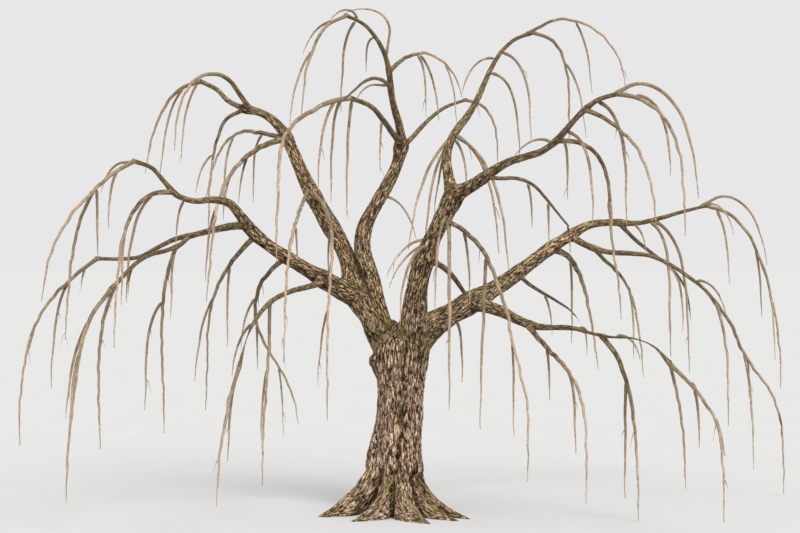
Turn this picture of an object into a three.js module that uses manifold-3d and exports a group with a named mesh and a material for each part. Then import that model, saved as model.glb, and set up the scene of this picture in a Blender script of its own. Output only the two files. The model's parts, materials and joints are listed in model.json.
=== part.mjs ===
// A mature weeping willow without its leaves: a flared trunk, four main limbs that fork from its top, the
// boughs and branches that they carry, and the long withes that hang from them. Millimetres, +Z up, the
// origin on the flat cut under the trunk. +X is the tree's right and -Y its front.
import * as THREE from 'three';
import { mergeVertices } from 'three/addons/utils/BufferGeometryUtils.js';
import Module from 'manifold-3d';

const wasm = await Module();
wasm.setup();

// ---- Driving dimensions

// The front elevation is laid out as it is seen from one point in front of the tree. A limb that stands
// before or behind the trunk is carried along its sight lines, so that the elevation stays true.
const sightDistance = 30000;
const sightHeight = 4400;

const seatGap = 0.3;            // clearance where one limb is let into another
const stepsPerStation = 8;      // fineness of the sum along a limb
const weldDistance = 0.001;     // vertices nearer than this are one

const trunk = {
  height: 3190,
  waist: 392,                   // half the thickness below the fork
  forkSwell: 125,               // what the fork adds to that at the top
  forkFrom: 2050,
  buttress: 75,                 // what the butt adds near the ground
  buttressHeight: 700,
  lean: [-60, -70, -45, 5, 15, 20, 30],   // the pith's way across, at even heights
  sides: 40,
  rings: 22,
  ringCrowding: 1.45,           // above 1, the rings stand closer together near the ground
  crownShare: 0.72,             // how far the top ring is drawn in, under the fork
};

// Roots as they leave the butt: the way each one points in degrees (0 right, 90 behind, 270 in front), how
// far it reaches from the pith, and half its thickness.
const roots = [
  { bearing: 207, reach: 1620, half: 190 },
  { bearing: 236, reach: 1480, half: 210 },
  { bearing: 284, reach: 1520, half: 220 },
  { bearing: 307, reach: 1590, half: 130 },
  { bearing: 323, reach: 1650, half: 140 },
  { bearing: 2, reach: 1150, half: 190 },
  { bearing: 44, reach: 1300, half: 180 },
  { bearing: 88, reach: 1220, half: 200 },
  { bearing: 131, reach: 1340, half: 180 },
  { bearing: 169, reach: 1180, half: 190 },
];
const rootToeShare = 0.3;       // the part of a root's reach that is its low toe
const rootToeHeight = 60;
const rootSlopeHeight = 520;
const rootWidening = 0.12;      // how much of a turn wider a root grows for each slope height up the butt
const mostWidening = 2;

const burl = { bearing: 188, height: 2600, bulge: 75, spread: 150 };
const groove = { bearing: 268, depth: 55, width: 0.2, fadeHeight: 1500 };

const left = -1;
const right = 1;

// ---- Limbs
// on: the limb that carries it, or its foot on the trunk as [across, up]. at: how far along the carrier, 0 to
// 1. run: its length in the elevation. lean: its angle from straight up, in degrees, at even stations; 90
// is level and 180 hangs. back: how far its tip stands behind its foot. thick: its thickness at even
// stations.

const boughs = [
  { name: 'northwest_bough', on: [-216, 2988], run: 5200, side: left, back: 1800,
    lean: [36, 35, 31, 14, 18, 29, 31, 27, 22, 22, 31, 66, 82], thick: [680, 430, 330, 225, 120] },
  { name: 'east_bough', on: [90, 2988], run: 6140, side: right, back: 2200,
    lean: [50, 57, 59, 60, 60, 55, 52, 54, 59, 62, 104, 80, 76, 72, 80],
    thick: [580, 390, 290, 235, 145, 90, 65] },
  { name: 'right_stem', on: [198, 2988], run: 2840, side: right, back: -600,
    lean: [8, 5, 6, 17, 24, 28, 26], thick: [520, 450, 375, 350, 275, 265] },
  { name: 'centre_stem', on: [18, 2990], run: 3905, side: left, back: 1000,
    lean: [30, 30, 22, 14, 14, 5, -20, -31, -28, -22, -4], thick: [430, 400, 300, 250, 240, 190] },
  { name: 'west_bough', on: 'northwest_bough', at: 0.2, run: 4900, side: left, back: -2600,
    lean: [65, 63, 60, 59, 59, 58, 54, 47, 36, 31, 90, 100, 73, 46, 32, 58, 85],
    thick: [400, 245, 190, 100, 70] },
  { name: 'west_long_bough', on: 'west_bough', at: 0.485, run: 2820, side: left, back: 2600,
    lean: [98, 94, 112, 96, 112, 125, 104, 80, 98], thick: [150, 105, 85, 75] },
  { name: 'west_second_bough', on: 'west_long_bough', at: 0.37, run: 1780, side: left, back: -2200,
    lean: [138, 122, 95, 118, 135, 138, 137], thick: [90, 80, 75] },
  { name: 'west_low_bough', on: 'west_bough', at: 0.125, run: 2430, side: left, back: -3400,
    lean: [112, 103, 110, 140, 152, 164, 169], thick: [125, 95, 75, 65] },
  { name: 'north_crest_bough', on: 'northwest_bough', at: 1, run: 895, side: left, back: 900,
    lean: [74, 48, 43, 85], thick: [112, 80] },
  { name: 'centre_leader', on: 'centre_stem', at: 1, run: 2655, side: left, back: -1500,
    lean: [4, 14, 18, 3, 8, 22, 36, 50, 78], thick: [170, 130, 100, 80, 62] },
  { name: 'centre_left_bough', on: 'centre_stem', at: 0.99, run: 1330, side: left, back: -2000,
    lean: [38, 37, 36, 58, 86], thick: [120, 100, 82] },
  { name: 'centre_right_bough', on: 'centre_stem', at: 0.98, run: 1475, side: right, back: 2500,
    lean: [48, 46, 38, 58, 60, 84], thick: [110, 85, 65] },
  { name: 'leader_left_bough', on: 'centre_leader', at: 0.375, run: 1100, side: left, back: -2000,
    lean: [25, 60, 105, 134, 134, 128], thick: [76, 66, 40] },
  { name: 'northeast_bough', on: 'right_stem', at: 1, run: 3545, side: right, back: 2600,
    lean: [-22, -14, 0, 20, 39, 36, 22, 25, 26, 41, 58, 80], thick: [210, 165, 145, 110, 85, 68] },
  { name: 'east_high_bough', on: 'right_stem', at: 1, run: 3560, side: right, back: -2600,
    lean: [60, 62, 53, 56, 75, 77, 50, 41, 40, 51, 62, 88], thick: [250, 190, 130, 115, 95, 72] },
  { name: 'east_cross_bough', on: 'east_high_bough', at: 0.175, run: 1900, side: right, back: 1100,
    lean: [100, 85, 98, 132, 144, 139, 142], thick: [85, 65, 45] },
  { name: 'brace_bough', on: 'right_stem', at: 0.55, run: 1020, side: right, back: 1500,
    lean: [100, 122, 146, 146], thick: [120, 110, 80] },
  { name: 'east_second_bough', on: 'east_bough', at: 0.58, run: 3070, side: right, back: -900,
    lean: [124, 114, 99, 88, 106, 122, 126, 130, 152], thick: [140, 105, 85, 72, 64] },
  { name: 'east_link_bough', on: 'east_bough', at: 0.735, run: 2575, side: right, back: 1300,
    lean: [140, 129, 128, 130, 164, 176, 179], thick: [90, 70, 48, 26] },
  { name: 'east_low_bough', on: 'east_bough', at: 0.23, run: 3930, side: right, back: -3700,
    lean: [104, 105, 118, 118, 85, 91, 113, 98, 87, 110, 134, 148], thick: [260, 200, 130, 100, 80, 66] },
  { name: 'east_hook_bough', on: 'east_bough', at: 0.39, run: 1625, side: right, back: 2600,
    lean: [145, 118, 125, 118, 138, 153], thick: [88, 65, 36] },
];

const branches = [
  { name: 'leader_right_branch', on: 'centre_leader', at: 0.49, run: 1870, side: right, back: 1700,
    lean: [41, 50, 73, 98, 132, 140, 160, 168], thick: [80, 62, 40, 24] },
  { name: 'west_near_branch', on: 'west_bough', at: 0.435, run: 3420, side: left, back: 3600,
    lean: [130, 146, 151, 176, 179, 178, 177], thick: [98, 65, 40, 24] },
  { name: 'west_inner_branch', on: 'west_bough', at: 0.295, run: 3375, side: left, back: 1700,
    lean: [130, 132, 168, 183, 208, 213, 208, 196, 184], thick: [84, 60, 42, 24] },
  { name: 'west_arch_branch', on: 'west_bough', at: 0.81, run: 3340, side: left, back: -1500,
    lean: [80, 116, 152, 162, 174, 176, 175, 178, 180], thick: [80, 56, 38, 24] },
  { name: 'north_back_branch', on: 'northwest_bough', at: 0.97, run: 2680, side: left, back: -1000,
    lean: [40, 27, 50, 92, 134, 157, 169, 174, 180], thick: [92, 70, 42, 24] },
  { name: 'north_under_branch', on: 'northwest_bough', at: 0.985, run: 2615, side: left, back: -300,
    lean: [92, 148, 168, 171, 177, 180, 177], thick: [72, 50, 34, 24] },
  { name: 'north_arch_branch', on: 'northwest_bough', at: 0.805, run: 2220, side: left, back: 2600,
    lean: [92, 72, 88, 144, 155, 163, 175], thick: [95, 72, 48, 26] },
  { name: 'north_elbow_branch', on: 'northwest_bough', at: 0.8, run: 3590, side: left, back: -3100,
    lean: [92, 124, 134, 160, 171, 174, 176, 172], thick: [112, 84, 58, 40, 24] },
  { name: 'east_high_branch', on: 'east_high_bough', at: 0.807, run: 2635, side: right, back: -1200,
    lean: [104, 128, 131, 153, 166, 172, 177], thick: [74, 55, 38, 24] },
  { name: 'east_veil_branch', on: 'east_high_bough', at: 0.59, run: 3835, side: right, back: 1600,
    lean: [86, 108, 155, 175, 180, 171, 172, 172, 180], thick: [76, 58, 40, 24] },
  { name: 'stem_veil_branch', on: 'right_stem', at: 0.835, run: 5235, side: right, back: -3600,
    lean: [124, 118, 162, 154, 167, 172, 160, 171, 180, 181, 181], thick: [84, 60, 40, 24] },
  { name: 'knuckle_branch', on: 'east_bough', at: 0.515, run: 2480, side: right, back: 1600,
    lean: [95, 143, 162, 167, 171, 171, 174], thick: [120, 80, 48, 24] },
  { name: 'east_inner_branch', on: 'east_second_bough', at: 0.155, run: 2600, side: right, back: 2300,
    lean: [150, 122, 146, 162, 169, 172, 175, 177], thick: [74, 55, 38, 24] },
  { name: 'low_front_branch', on: 'east_low_bough', at: 0.28, run: 3575, side: right, back: -3300,
    lean: [150, 131, 141, 161, 174, 180, 180, 181], thick: [92, 66, 42, 24] },
  { name: 'low_middle_branch', on: 'east_low_bough', at: 0.633, run: 3450, side: right, back: 800,
    lean: [130, 160, 162, 174, 175, 177, 179, 181], thick: [84, 62, 40, 24] },
];

const withes = [
  { name: 'west_withe', on: 'west_bough', at: 1, run: 3160, side: left, back: -900,
    lean: [112, 133, 134, 144, 158, 168, 175], thick: [68, 54, 38, 24] },
  { name: 'west_inner_withe', on: 'west_withe', at: 0.3, run: 2710, side: left, back: 800,
    lean: [150, 166, 173, 176, 177], thick: [58, 44, 24] },
  { name: 'west_long_withe', on: 'west_long_bough', at: 1, run: 3860, side: left, back: 900,
    lean: [120, 137, 131, 155, 163, 170, 175, 179, 184], thick: [72, 56, 38, 24] },
  { name: 'west_second_withe', on: 'west_second_bough', at: 1, run: 3990, side: left, back: -400,
    lean: [134, 153, 169, 172, 174, 174, 178, 180], thick: [72, 56, 38, 24] },
  { name: 'west_straight_withe', on: 'west_second_bough', at: 0.96, run: 2940, side: left, back: 1000,
    lean: [158, 171, 179, 182, 182], thick: [66, 46, 24] },
  { name: 'west_third_withe', on: 'west_second_bough', at: 0.19, run: 3375, side: left, back: 1700,
    lean: [158, 171, 179, 181, 184, 178], thick: [72, 50, 24] },
  { name: 'west_low_withe', on: 'west_low_bough', at: 1, run: 2530, side: left, back: -500,
    lean: [157, 170, 167, 173, 177, 177], thick: [62, 46, 24] },
  { name: 'west_low_inner_withe', on: 'west_low_bough', at: 0.45, run: 3315, side: left, back: 300,
    lean: [180, 178, 174, 179, 180], thick: [62, 44, 24] },
  { name: 'bough_left_withe', on: 'northwest_bough', at: 0.61, run: 3190, side: left, back: -4600,
    lean: [155, 163, 174, 177, 178, 180], thick: [70, 48, 24] },
  { name: 'bough_right_withe', on: 'northwest_bough', at: 0.61, run: 4310, side: right, back: -2800,
    lean: [115, 164, 178, 186, 183, 181, 180, 180, 180], thick: [74, 56, 40, 24] },
  { name: 'north_crest_withe', on: 'north_crest_bough', at: 1, run: 2085, side: left, back: 700,
    lean: [94, 130, 149, 163, 167, 174], thick: [76, 52, 24] },
  { name: 'leader_withe', on: 'centre_leader', at: 1, run: 2210, side: left, back: -600,
    lean: [92, 146, 155, 170, 176, 173], thick: [60, 44, 24] },
  { name: 'centre_left_withe', on: 'centre_left_bough', at: 1, run: 3680, side: left, back: -1300,
    lean: [93, 116, 121, 138, 174, 179, 177, 177, 180, 180], thick: [80, 66, 44, 24] },
  { name: 'centre_right_withe', on: 'centre_right_bough', at: 1, run: 1480, side: right, back: 1100,
    lean: [95, 132, 168, 178, 180], thick: [62, 44, 24] },
  { name: 'northeast_withe', on: 'northeast_bough', at: 1, run: 2370, side: right, back: 1200,
    lean: [88, 145, 168, 179, 180, 180], thick: [66, 46, 24] },
  { name: 'northeast_high_withe', on: 'northeast_bough', at: 0.97, run: 2630, side: right, back: -1300,
    lean: [72, 53, 86, 112, 120, 141, 156, 167, 177], thick: [58, 42, 24] },
  { name: 'east_high_withe', on: 'east_high_bough', at: 1, run: 3145, side: right, back: -1000,
    lean: [92, 120, 138, 160, 172, 176, 179, 178], thick: [70, 52, 36, 24] },
  { name: 'east_withe', on: 'east_bough', at: 1, run: 3820, side: right, back: 800,
    lean: [98, 126, 151, 159, 165, 169, 173, 178, 181], thick: [62, 52, 38, 24] },
  { name: 'east_second_withe', on: 'east_second_bough', at: 1, run: 3700, side: right, back: 1400,
    lean: [134, 157, 158, 136, 152, 170, 177, 179, 181], thick: [62, 50, 36, 24] },
  { name: 'east_second_inner_withe', on: 'east_second_bough', at: 0.97, run: 2250, side: right, back: -900,
    lean: [162, 168, 178, 180, 179], thick: [54, 40, 24] },
  { name: 'low_withe', on: 'east_low_bough', at: 1, run: 3090, side: right, back: -900,
    lean: [126, 142, 140, 162, 175, 177, 180, 181], thick: [64, 50, 36, 24] },
  { name: 'low_inner_withe', on: 'east_low_bough', at: 0.975, run: 2315, side: right, back: 1300,
    lean: [164, 167, 174, 177, 180], thick: [58, 42, 24] },
];

// How soon a limb reaches its depth: a bough goes on outward to its tip, and what hangs soon drops plumb.
const kinds = [
  { limbs: boughs, reachPower: 1.3, sides: 8, color: 0x6b5a45 },
  { limbs: branches, reachPower: 2, sides: 6, color: 0x8a7358 },
  { limbs: withes, reachPower: 2, sides: 5, color: 0xa8896a },
];

// ---- Shapes

// The value at t, 0 to 1, of a quantity that is given at even stations.
function atStations(values, t) {
  const place = Math.min(Math.max(t, 0), 1) * (values.length - 1);
  const below = Math.min(Math.floor(place), values.length - 2);
  return THREE.MathUtils.lerp(values[below], values[below + 1], place - below);
}

// Carries a point of the elevation along its sight line to its depth.
function alongSight(across, up, back) {
  const scale = (sightDistance + back) / sightDistance;
  return new THREE.Vector3(across * scale, back, sightHeight + (up - sightHeight) * scale);
}

// The limb's middle at t, as it is drawn in the elevation, with its depth.
function limbMiddle(limb, t) {
  const stations = (limb.lean.length - 1) * stepsPerStation;
  const steps = Math.max(1, Math.round(t * stations));
  const step = limb.run * t / steps;
  const place = { across: limb.foot.across, up: limb.foot.up };
  for (let i = 0; i < steps; i++) {
    const lean = THREE.MathUtils.degToRad(atStations(limb.lean, t * (i + 0.5) / steps));
    place.across += limb.side * Math.sin(lean) * step;
    place.up += Math.cos(lean) * step;
  }
  place.back = limb.foot.back + limb.back * (1 - (1 - t) ** limb.reachPower);
  return place;
}

function limbPath(limb) {
  const count = limb.lean.length - 1;
  const points = limb.lean.map((lean, i) => {
    const middle = limbMiddle(limb, i / count);
    return alongSight(middle.across, middle.up, middle.back);
  });
  return new THREE.CatmullRomCurve3(points);
}

// A closed cylinder bent along the path, each ring with its own radius, and grown all round.
function bentCylinder(path, sides, rings, radiusAt, growth) {
  const geometry = new THREE.CylinderGeometry(1, 1, 1, sides, rings);
  const frames = path.computeFrenetFrames(rings, false);
  const position = geometry.getAttribute('position');
  const vertex = new THREE.Vector3();
  for (let i = 0; i < position.count; i++) {
    vertex.fromBufferAttribute(position, i);
    const ring = Math.round((vertex.y + 0.5) * rings);
    const radius = radiusAt(ring / rings) + growth;
    const place = path.getPointAt(ring / rings);
    const beyond = ring === rings ? growth : ring === 0 ? -growth : 0;
    place.addScaledVector(frames.tangents[ring], beyond);
    place.addScaledVector(frames.normals[ring], vertex.z * radius);
    place.addScaledVector(frames.binormals[ring], vertex.x * radius);
    position.setXYZ(i, place.x, place.y, place.z);
  }
  return geometry;
}

function toSolid(geometry) {
  const bare = geometry.clone();
  bare.deleteAttribute('normal');
  bare.deleteAttribute('uv');
  const merged = mergeVertices(bare, weldDistance);
  const vertProperties = new Float32Array(merged.getAttribute('position').array);
  const triVerts = new Uint32Array(merged.getIndex().array);
  return new wasm.Manifold(new wasm.Mesh({ numProp: 3, vertProperties, triVerts }));
}

function toGeometry(solid) {
  const mesh = solid.getMesh();
  const geometry = new THREE.BufferGeometry();
  geometry.setAttribute('position', new THREE.BufferAttribute(mesh.vertProperties, 3));
  geometry.setIndex(new THREE.BufferAttribute(mesh.triVerts, 1));
  geometry.computeVertexNormals();
  return geometry;
}

// The limb as a solid, grown by the seat gap when it is to be cut out of another.
function limbSolid(limb, growth) {
  const path = limbPath(limb);
  const rings = limb.lean.length - 1;
  return toSolid(bentCylinder(path, limb.sides, rings, (t) => atStations(limb.thick, t) / 2, growth));
}

// ---- Trunk

// How far a root stands out from the butt at a height: a low toe on a long slope.
function rootRise(reach, height) {
  const toe = rootToeShare * Math.exp(-height / rootToeHeight);
  const slope = (1 - rootToeShare) * Math.exp(-height / rootSlopeHeight);
  return reach * (toe + slope);
}

function turnBetween(angle, bearing) {
  const turn = angle - THREE.MathUtils.degToRad(bearing);
  return Math.atan2(Math.sin(turn), Math.cos(turn));
}

function trunkRadius(angle, height) {
  const swell = THREE.MathUtils.smoothstep(height, trunk.forkFrom, trunk.height);
  const butt = trunk.waist + trunk.buttress * Math.exp(-height / trunk.buttressHeight);
  let radius = butt + trunk.forkSwell * swell;
  let standOut = 0;
  for (const root of roots) {
    const rise = rootRise(root.reach - butt, height);
    const halfTurn = root.half / (butt + rise) + rootWidening * Math.min(height / rootSlopeHeight, mostWidening);
    const share = Math.exp(-((turnBetween(angle, root.bearing) / halfTurn) ** 2));
    standOut = Math.max(standOut, rise * share);
  }
  radius += standOut;
  const fade = Math.exp(-height / groove.fadeHeight);
  radius -= groove.depth * fade * Math.exp(-((turnBetween(angle, groove.bearing) / groove.width) ** 2));
  const burlOff = Math.hypot(turnBetween(angle, burl.bearing) * trunk.waist, height - burl.height);
  return radius + burl.bulge * Math.exp(-((burlOff / burl.spread) ** 2));
}

// Rings stand closer together near the ground, and the top is drawn in to a blunt crown under the fork.
function trunkSolid(growth) {
  const geometry = new THREE.CylinderGeometry(1, 1, 1, trunk.sides, trunk.rings);
  const position = geometry.getAttribute('position');
  const vertex = new THREE.Vector3();
  for (let i = 0; i < position.count; i++) {
    vertex.fromBufferAttribute(position, i);
    const share = vertex.y + 0.5;
    const height = (trunk.height + growth) * share ** trunk.ringCrowding;
    const angle = Math.atan2(-vertex.z, vertex.x);
    const crown = Math.round(share * trunk.rings) === trunk.rings ? trunk.crownShare : 1;
    const radius = Math.hypot(vertex.x, vertex.z) * (trunkRadius(angle, height) * crown + growth);
    const pith = atStations(trunk.lean, height / trunk.height);
    position.setXYZ(i, pith + radius * Math.cos(angle), radius * Math.sin(angle), height);
  }
  return toSolid(geometry);
}

// ---- The tree

const tree = new THREE.Group();
const placed = [];

function plant(name, solid, cutter, color) {
  const material = new THREE.MeshStandardMaterial({ color, roughness: 0.95, metalness: 0 });
  const mesh = new THREE.Mesh(toGeometry(solid), material);
  mesh.name = name;
  tree.add(mesh);
  placed.push({ box: cutter.boundingBox(), cutter });
}

function boxesMeet(a, b) {
  return [0, 1, 2].every((k) => a.min[k] < b.max[k] && b.min[k] < a.max[k]);
}

// What is left of a limb when all that stands already is cut out of it: its longest piece.
function letIn(solid) {
  let rest = solid;
  const box = solid.boundingBox();
  for (const other of placed) {
    if (boxesMeet(box, other.box)) rest = rest.subtract(other.cutter);
  }
  const pieces = rest.decompose();
  pieces.sort((a, b) => b.volume() - a.volume());
  return pieces[0];
}

plant('trunk', trunkSolid(0), trunkSolid(seatGap), 0x5f5040);

const known = {};
for (const { limbs, reachPower, sides, color } of kinds) {
  for (const limb of limbs) {
    Object.assign(limb, { reachPower, sides });
    const onTrunk = Array.isArray(limb.on);
    limb.foot = onTrunk ? { across: limb.on[0], up: limb.on[1], back: 0 } : limbMiddle(known[limb.on], limb.at);
    known[limb.name] = limb;
    plant(limb.name, letIn(limbSolid(limb, 0)), limbSolid(limb, seatGap), color);
  }
}

export default tree;
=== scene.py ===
import json
import math

import bmesh
import bpy
import numpy as np
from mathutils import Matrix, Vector
from mathutils.bvhtree import BVHTree


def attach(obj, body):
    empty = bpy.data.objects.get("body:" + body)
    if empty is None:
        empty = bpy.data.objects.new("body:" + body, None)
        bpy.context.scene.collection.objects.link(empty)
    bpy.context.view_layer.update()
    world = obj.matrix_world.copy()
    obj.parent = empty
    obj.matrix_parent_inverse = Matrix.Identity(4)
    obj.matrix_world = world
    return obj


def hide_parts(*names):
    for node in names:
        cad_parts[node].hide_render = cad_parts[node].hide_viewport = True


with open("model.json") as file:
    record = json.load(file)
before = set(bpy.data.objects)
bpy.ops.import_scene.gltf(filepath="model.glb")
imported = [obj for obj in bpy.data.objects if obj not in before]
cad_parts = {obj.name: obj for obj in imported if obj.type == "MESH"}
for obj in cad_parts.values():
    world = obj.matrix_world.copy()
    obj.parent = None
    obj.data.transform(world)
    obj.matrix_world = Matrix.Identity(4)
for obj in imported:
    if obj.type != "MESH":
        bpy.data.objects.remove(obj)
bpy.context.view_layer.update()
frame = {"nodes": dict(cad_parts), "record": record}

# The viewpoint. The tree is seen from thirty metres in front of its trunk, with the eye level at
# four metres forty, and its elevation is drawn in the upright plane through the trunk's foot.
def added(name, data):
    """A new object in the scene, made of this camera, mesh or lamp."""
    thing = bpy.data.objects.new(name, data)
    bpy.context.collection.objects.link(thing)
    return thing


eye = np.array((0.0, -30.0, 4.4))
camera_data = bpy.data.cameras.new("camera")
camera_data.lens = 75
camera_data.clip_end = 4000
camera = added("camera", camera_data)
camera.location = eye
camera.rotation_euler = (math.pi / 2, 0, 0)
bpy.context.scene.camera = camera


# The limbs' own lines. Every limb of the frame is a tube of rings round a middle line, thick at its
# foot and thin at its tip. The rings are read from the tip down to the cut where the limb is let
# into its carrier, and the line runs on a little way into that carrier.
def neighbours(layer):
    """The vertices that share an edge with any of these."""
    return {edge.other_vert(vertex) for vertex in layer for edge in vertex.link_edges}


def last_reached(start):
    """The vertex that takes the most steps to reach from another one."""
    seen = {start}
    layer = {start}
    while layer:
        last = layer
        layer = neighbours(layer) - seen
        seen |= layer
    return min(last, key=lambda vertex: vertex.index)


def middle(vertices):
    """The middle of some vertices."""
    return sum((vertex.co for vertex in vertices), Vector()) / len(vertices)


def end_ring(mesh, end):
    """The ring round one end of a limb, its radius, and how round it is: 1 for a true circle.

    The vertex in the middle of the end's cap is in the set, but doesn't count for the radius.
    """
    gaps = sorted(((vertex.co - end.co).length, vertex.index) for vertex in mesh.verts)
    ring_width = 2.7 * gaps[1][0]
    ring = {mesh.verts[index] for gap, index in gaps if gap < ring_width}
    centre = middle(ring)
    spokes = [(vertex.co - centre).length for vertex in ring]
    rim = [spoke for spoke in spokes if spoke > 0.3 * max(spokes)]
    return ring, max(rim), min(rim) / max(rim)


weld = 0.004
least_roundness = 0.9


def limb_line(name, sides):
    """The middle line of a limb of the frame and its radii, from its foot to its tip."""
    mesh = bmesh.new()
    mesh.from_mesh(frame["nodes"][name].data)
    bmesh.ops.remove_doubles(mesh, verts=mesh.verts, dist=weld)
    mesh.verts.ensure_lookup_table()
    one_end = last_reached(mesh.verts[0])
    ends = [end_ring(mesh, one_end), end_ring(mesh, last_reached(one_end))]
    whole = [end for end in ends if end[2] > least_roundness and len(end[0]) in (sides, sides + 1)]
    layer, radius, _ = min(whole, key=lambda end: end[1])
    seen = set(layer)
    places, radii = [middle(layer)], [radius]
    layer = neighbours(layer) - seen
    while len(layer) == sides:
        centre = middle(layer)
        spokes = [(vertex.co - centre).length for vertex in layer]
        if min(spokes) < least_roundness * max(spokes):
            break
        places.append(centre)
        radii.append(max(spokes))
        seen |= layer
        layer = neighbours(layer) - seen
    foot = middle([vertex for vertex in mesh.verts if vertex not in seen])
    onward = foot - places[-1]
    growth = (radii[-1] - radii[-2]) / (places[-1] - places[-2]).length
    radius = radii[-1] + min(max(growth, 0) * onward.length, 0.25 * radii[-1])
    places.append(foot + onward.normalized() * 0.8 * radius)
    radii.append(radius)
    mesh.free()
    return np.array(places[::-1]), np.array(radii[::-1])


def smooth_line(places, radii, spacing):
    """The same line through the same places as an even curve, with a place every spacing metres."""
    before = 2 * places[:1] - places[1:2]
    after = 2 * places[-1:] - places[-2:-1]
    knots = np.vstack((before, places, after))
    gaps = np.linalg.norm(np.diff(places, axis=0), axis=1)
    line, thick = [], []
    for i, gap in enumerate(gaps):
        share = np.linspace(0, 1, max(2, round(gap / spacing)), endpoint=False)[:, None]
        a, b, c, d = knots[i : i + 4]
        bend = (2 * a - 5 * b + 4 * c - d) * share**2 + (3 * (b - c) + d - a) * share**3
        line.append(b + 0.5 * ((c - a) * share + bend))
        thick.append(radii[i] + (radii[i + 1] - radii[i]) * share[:, 0])
    line.append(places[-1:])
    thick.append(radii[-1:])
    return np.vstack(line), np.concatenate(thick)


def frames_along(line):
    """Two directions square to a line at each of its places, which turn as little as they can."""
    ahead = np.gradient(line, axis=0)
    ahead /= np.linalg.norm(ahead, axis=1)[:, None]
    unlike_any_limb = (0.31, 0.94, 0.13)
    across = np.cross(ahead[0], unlike_any_limb)
    first = []
    for direction in ahead:
        across = across - direction * (across @ direction)
        across = across / np.linalg.norm(across)
        first.append(across)
    first = np.array(first)
    return first, np.cross(ahead, first)


def tube(line, radii, sides):
    """The vertices, side faces and end caps of a closed tube round a line."""
    first, second = frames_along(line)
    turn = np.arange(sides) * 2 * math.pi / sides
    spokes = np.cos(turn)[:, None] * first[:, None] + np.sin(turn)[:, None] * second[:, None]
    vertices = (line[:, None] + spokes * np.asarray(radii)[:, None, None]).reshape(-1, 3)
    here = np.arange(sides)
    beside = (here + 1) % sides
    rows = np.arange(len(line) - 1)[:, None] * sides
    faces = np.stack((rows + here, rows + beside, rows + beside + sides, rows + here + sides), 2)
    caps = [list(here[::-1]), list(here + (len(line) - 1) * sides)]
    return vertices, faces.reshape(-1, 4).tolist(), caps


ring_sides = {"bough_bark": 8, "branch_bark": 6, "withe_bark": 5}
kinds = {kind: [] for kind in ring_sides}
for part in frame["record"]["subparts"]:
    if part["node"] != "trunk":
        kinds[part["material_slot"]].append(part["node"])
limbs = {name: limb_line(name, ring_sides[kind]) for kind, names in kinds.items() for name in names}


# The bark of the trunk and boughs. It is one skin over all the thick wood: old grey-brown plates with
# dark furrows between them, which run along each limb, spread down the roots and close round every
# fork, with moss where water lingers. It takes the place of the trunk's and the boughs' plain solids.
skin_grain = 0.018
skin_sides = 20
noise_cells = 256
draws = np.random.default_rng(41)
shuffle = draws.permutation(noise_cells)
slopes = draws.normal(size=(noise_cells, 3))
slopes /= np.linalg.norm(slopes, axis=1)[:, None]


def noise(places):
    """Smooth noise from about -1 to 1, with one hump or hollow in each unit of the places."""
    corner = np.floor(places).astype(int)
    inner = places - corner
    ease = inner**3 * (inner * (inner * 6 - 15) + 10)
    total = np.zeros(len(places))
    for step in np.ndindex(2, 2, 2):
        x, y, z = (corner + step).T
        pick = shuffle[x % noise_cells]
        pick = shuffle[(pick + y) % noise_cells]
        pick = shuffle[(pick + z) % noise_cells]
        weight = np.where(step, ease, 1 - ease).prod(axis=1)
        total += weight * ((inner - step) * slopes[pick]).sum(axis=1)
    return total * 1.5


def plates(straight, width, length):
    """Bark plates from 1 on their backs to 0 in the furrows, in a limb's straightened space."""
    places = straight / (width, width, length)
    places = places + 0.35 * np.stack([noise(places * 0.6 + 17 * axis) for axis in (1, 2, 3)], 1)
    return np.clip(np.abs(noise(places)) * 2.6, 0, 1) ** 0.8


def along_line(line, places):
    """Where places stand by a line: the number of the nearest stretch, the share of it, the offset."""
    start = line[:-1]
    stretch = np.diff(line, axis=0)
    size = (stretch**2).sum(axis=1)
    at_once = 8000
    number, share, offset = [], [], []
    for some in np.array_split(places, len(places) // at_once + 1):
        to = some[:, None] - start
        part = np.clip((to * stretch).sum(axis=2) / size, 0, 1)
        off = to - part[:, :, None] * stretch
        nearest = (off**2).sum(axis=2).argmin(axis=1)
        row = np.arange(len(some))
        number.append(nearest)
        share.append(part[row, nearest])
        offset.append(off[row, nearest])
    return np.concatenate(number), np.concatenate(share), np.concatenate(offset)


def lengths(line):
    """How far along a line each of its places is."""
    steps = np.linalg.norm(np.diff(line, axis=0), axis=1)
    return np.concatenate(([0], np.cumsum(steps)))


def collar(line, radii):
    """A limb's radii with the swelling at its foot, where it grows out of its carrier."""
    return radii + min(0.28 * radii[0], 0.03) * np.exp(-lengths(line) / (1.6 * radii[0]))


def trunk_shape():
    """The frame's trunk as a smooth shape that goes on below the ground.

    Low down it is drawn in to the butt that stands between the roots, and it leans a little left there.
    """
    shape = bmesh.new()
    pith = Vector((-0.05, 0))
    shape.from_mesh(frame["nodes"]["trunk"].data)
    bmesh.ops.remove_doubles(shape, verts=shape.verts, dist=1e-5)
    bmesh.ops.subdivide_edges(shape, edges=shape.edges, cuts=1, smooth=0.6, use_grid_fill=True)
    for vertex in shape.verts:
        out = vertex.co.xy - pith
        widest = 0.475 + 0.5 * max(0, vertex.co.z - 0.65)
        leftward = 0.048 * math.exp(-(((vertex.co.z - 1.05) / 0.55) ** 2))
        vertex.co.xy = pith + out * min(1, widest / max(out.length, 1e-6))
        vertex.co.x -= leftward
        if vertex.co.z < 1e-4:
            vertex.co.z = -3 * skin_grain
    return shape


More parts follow.
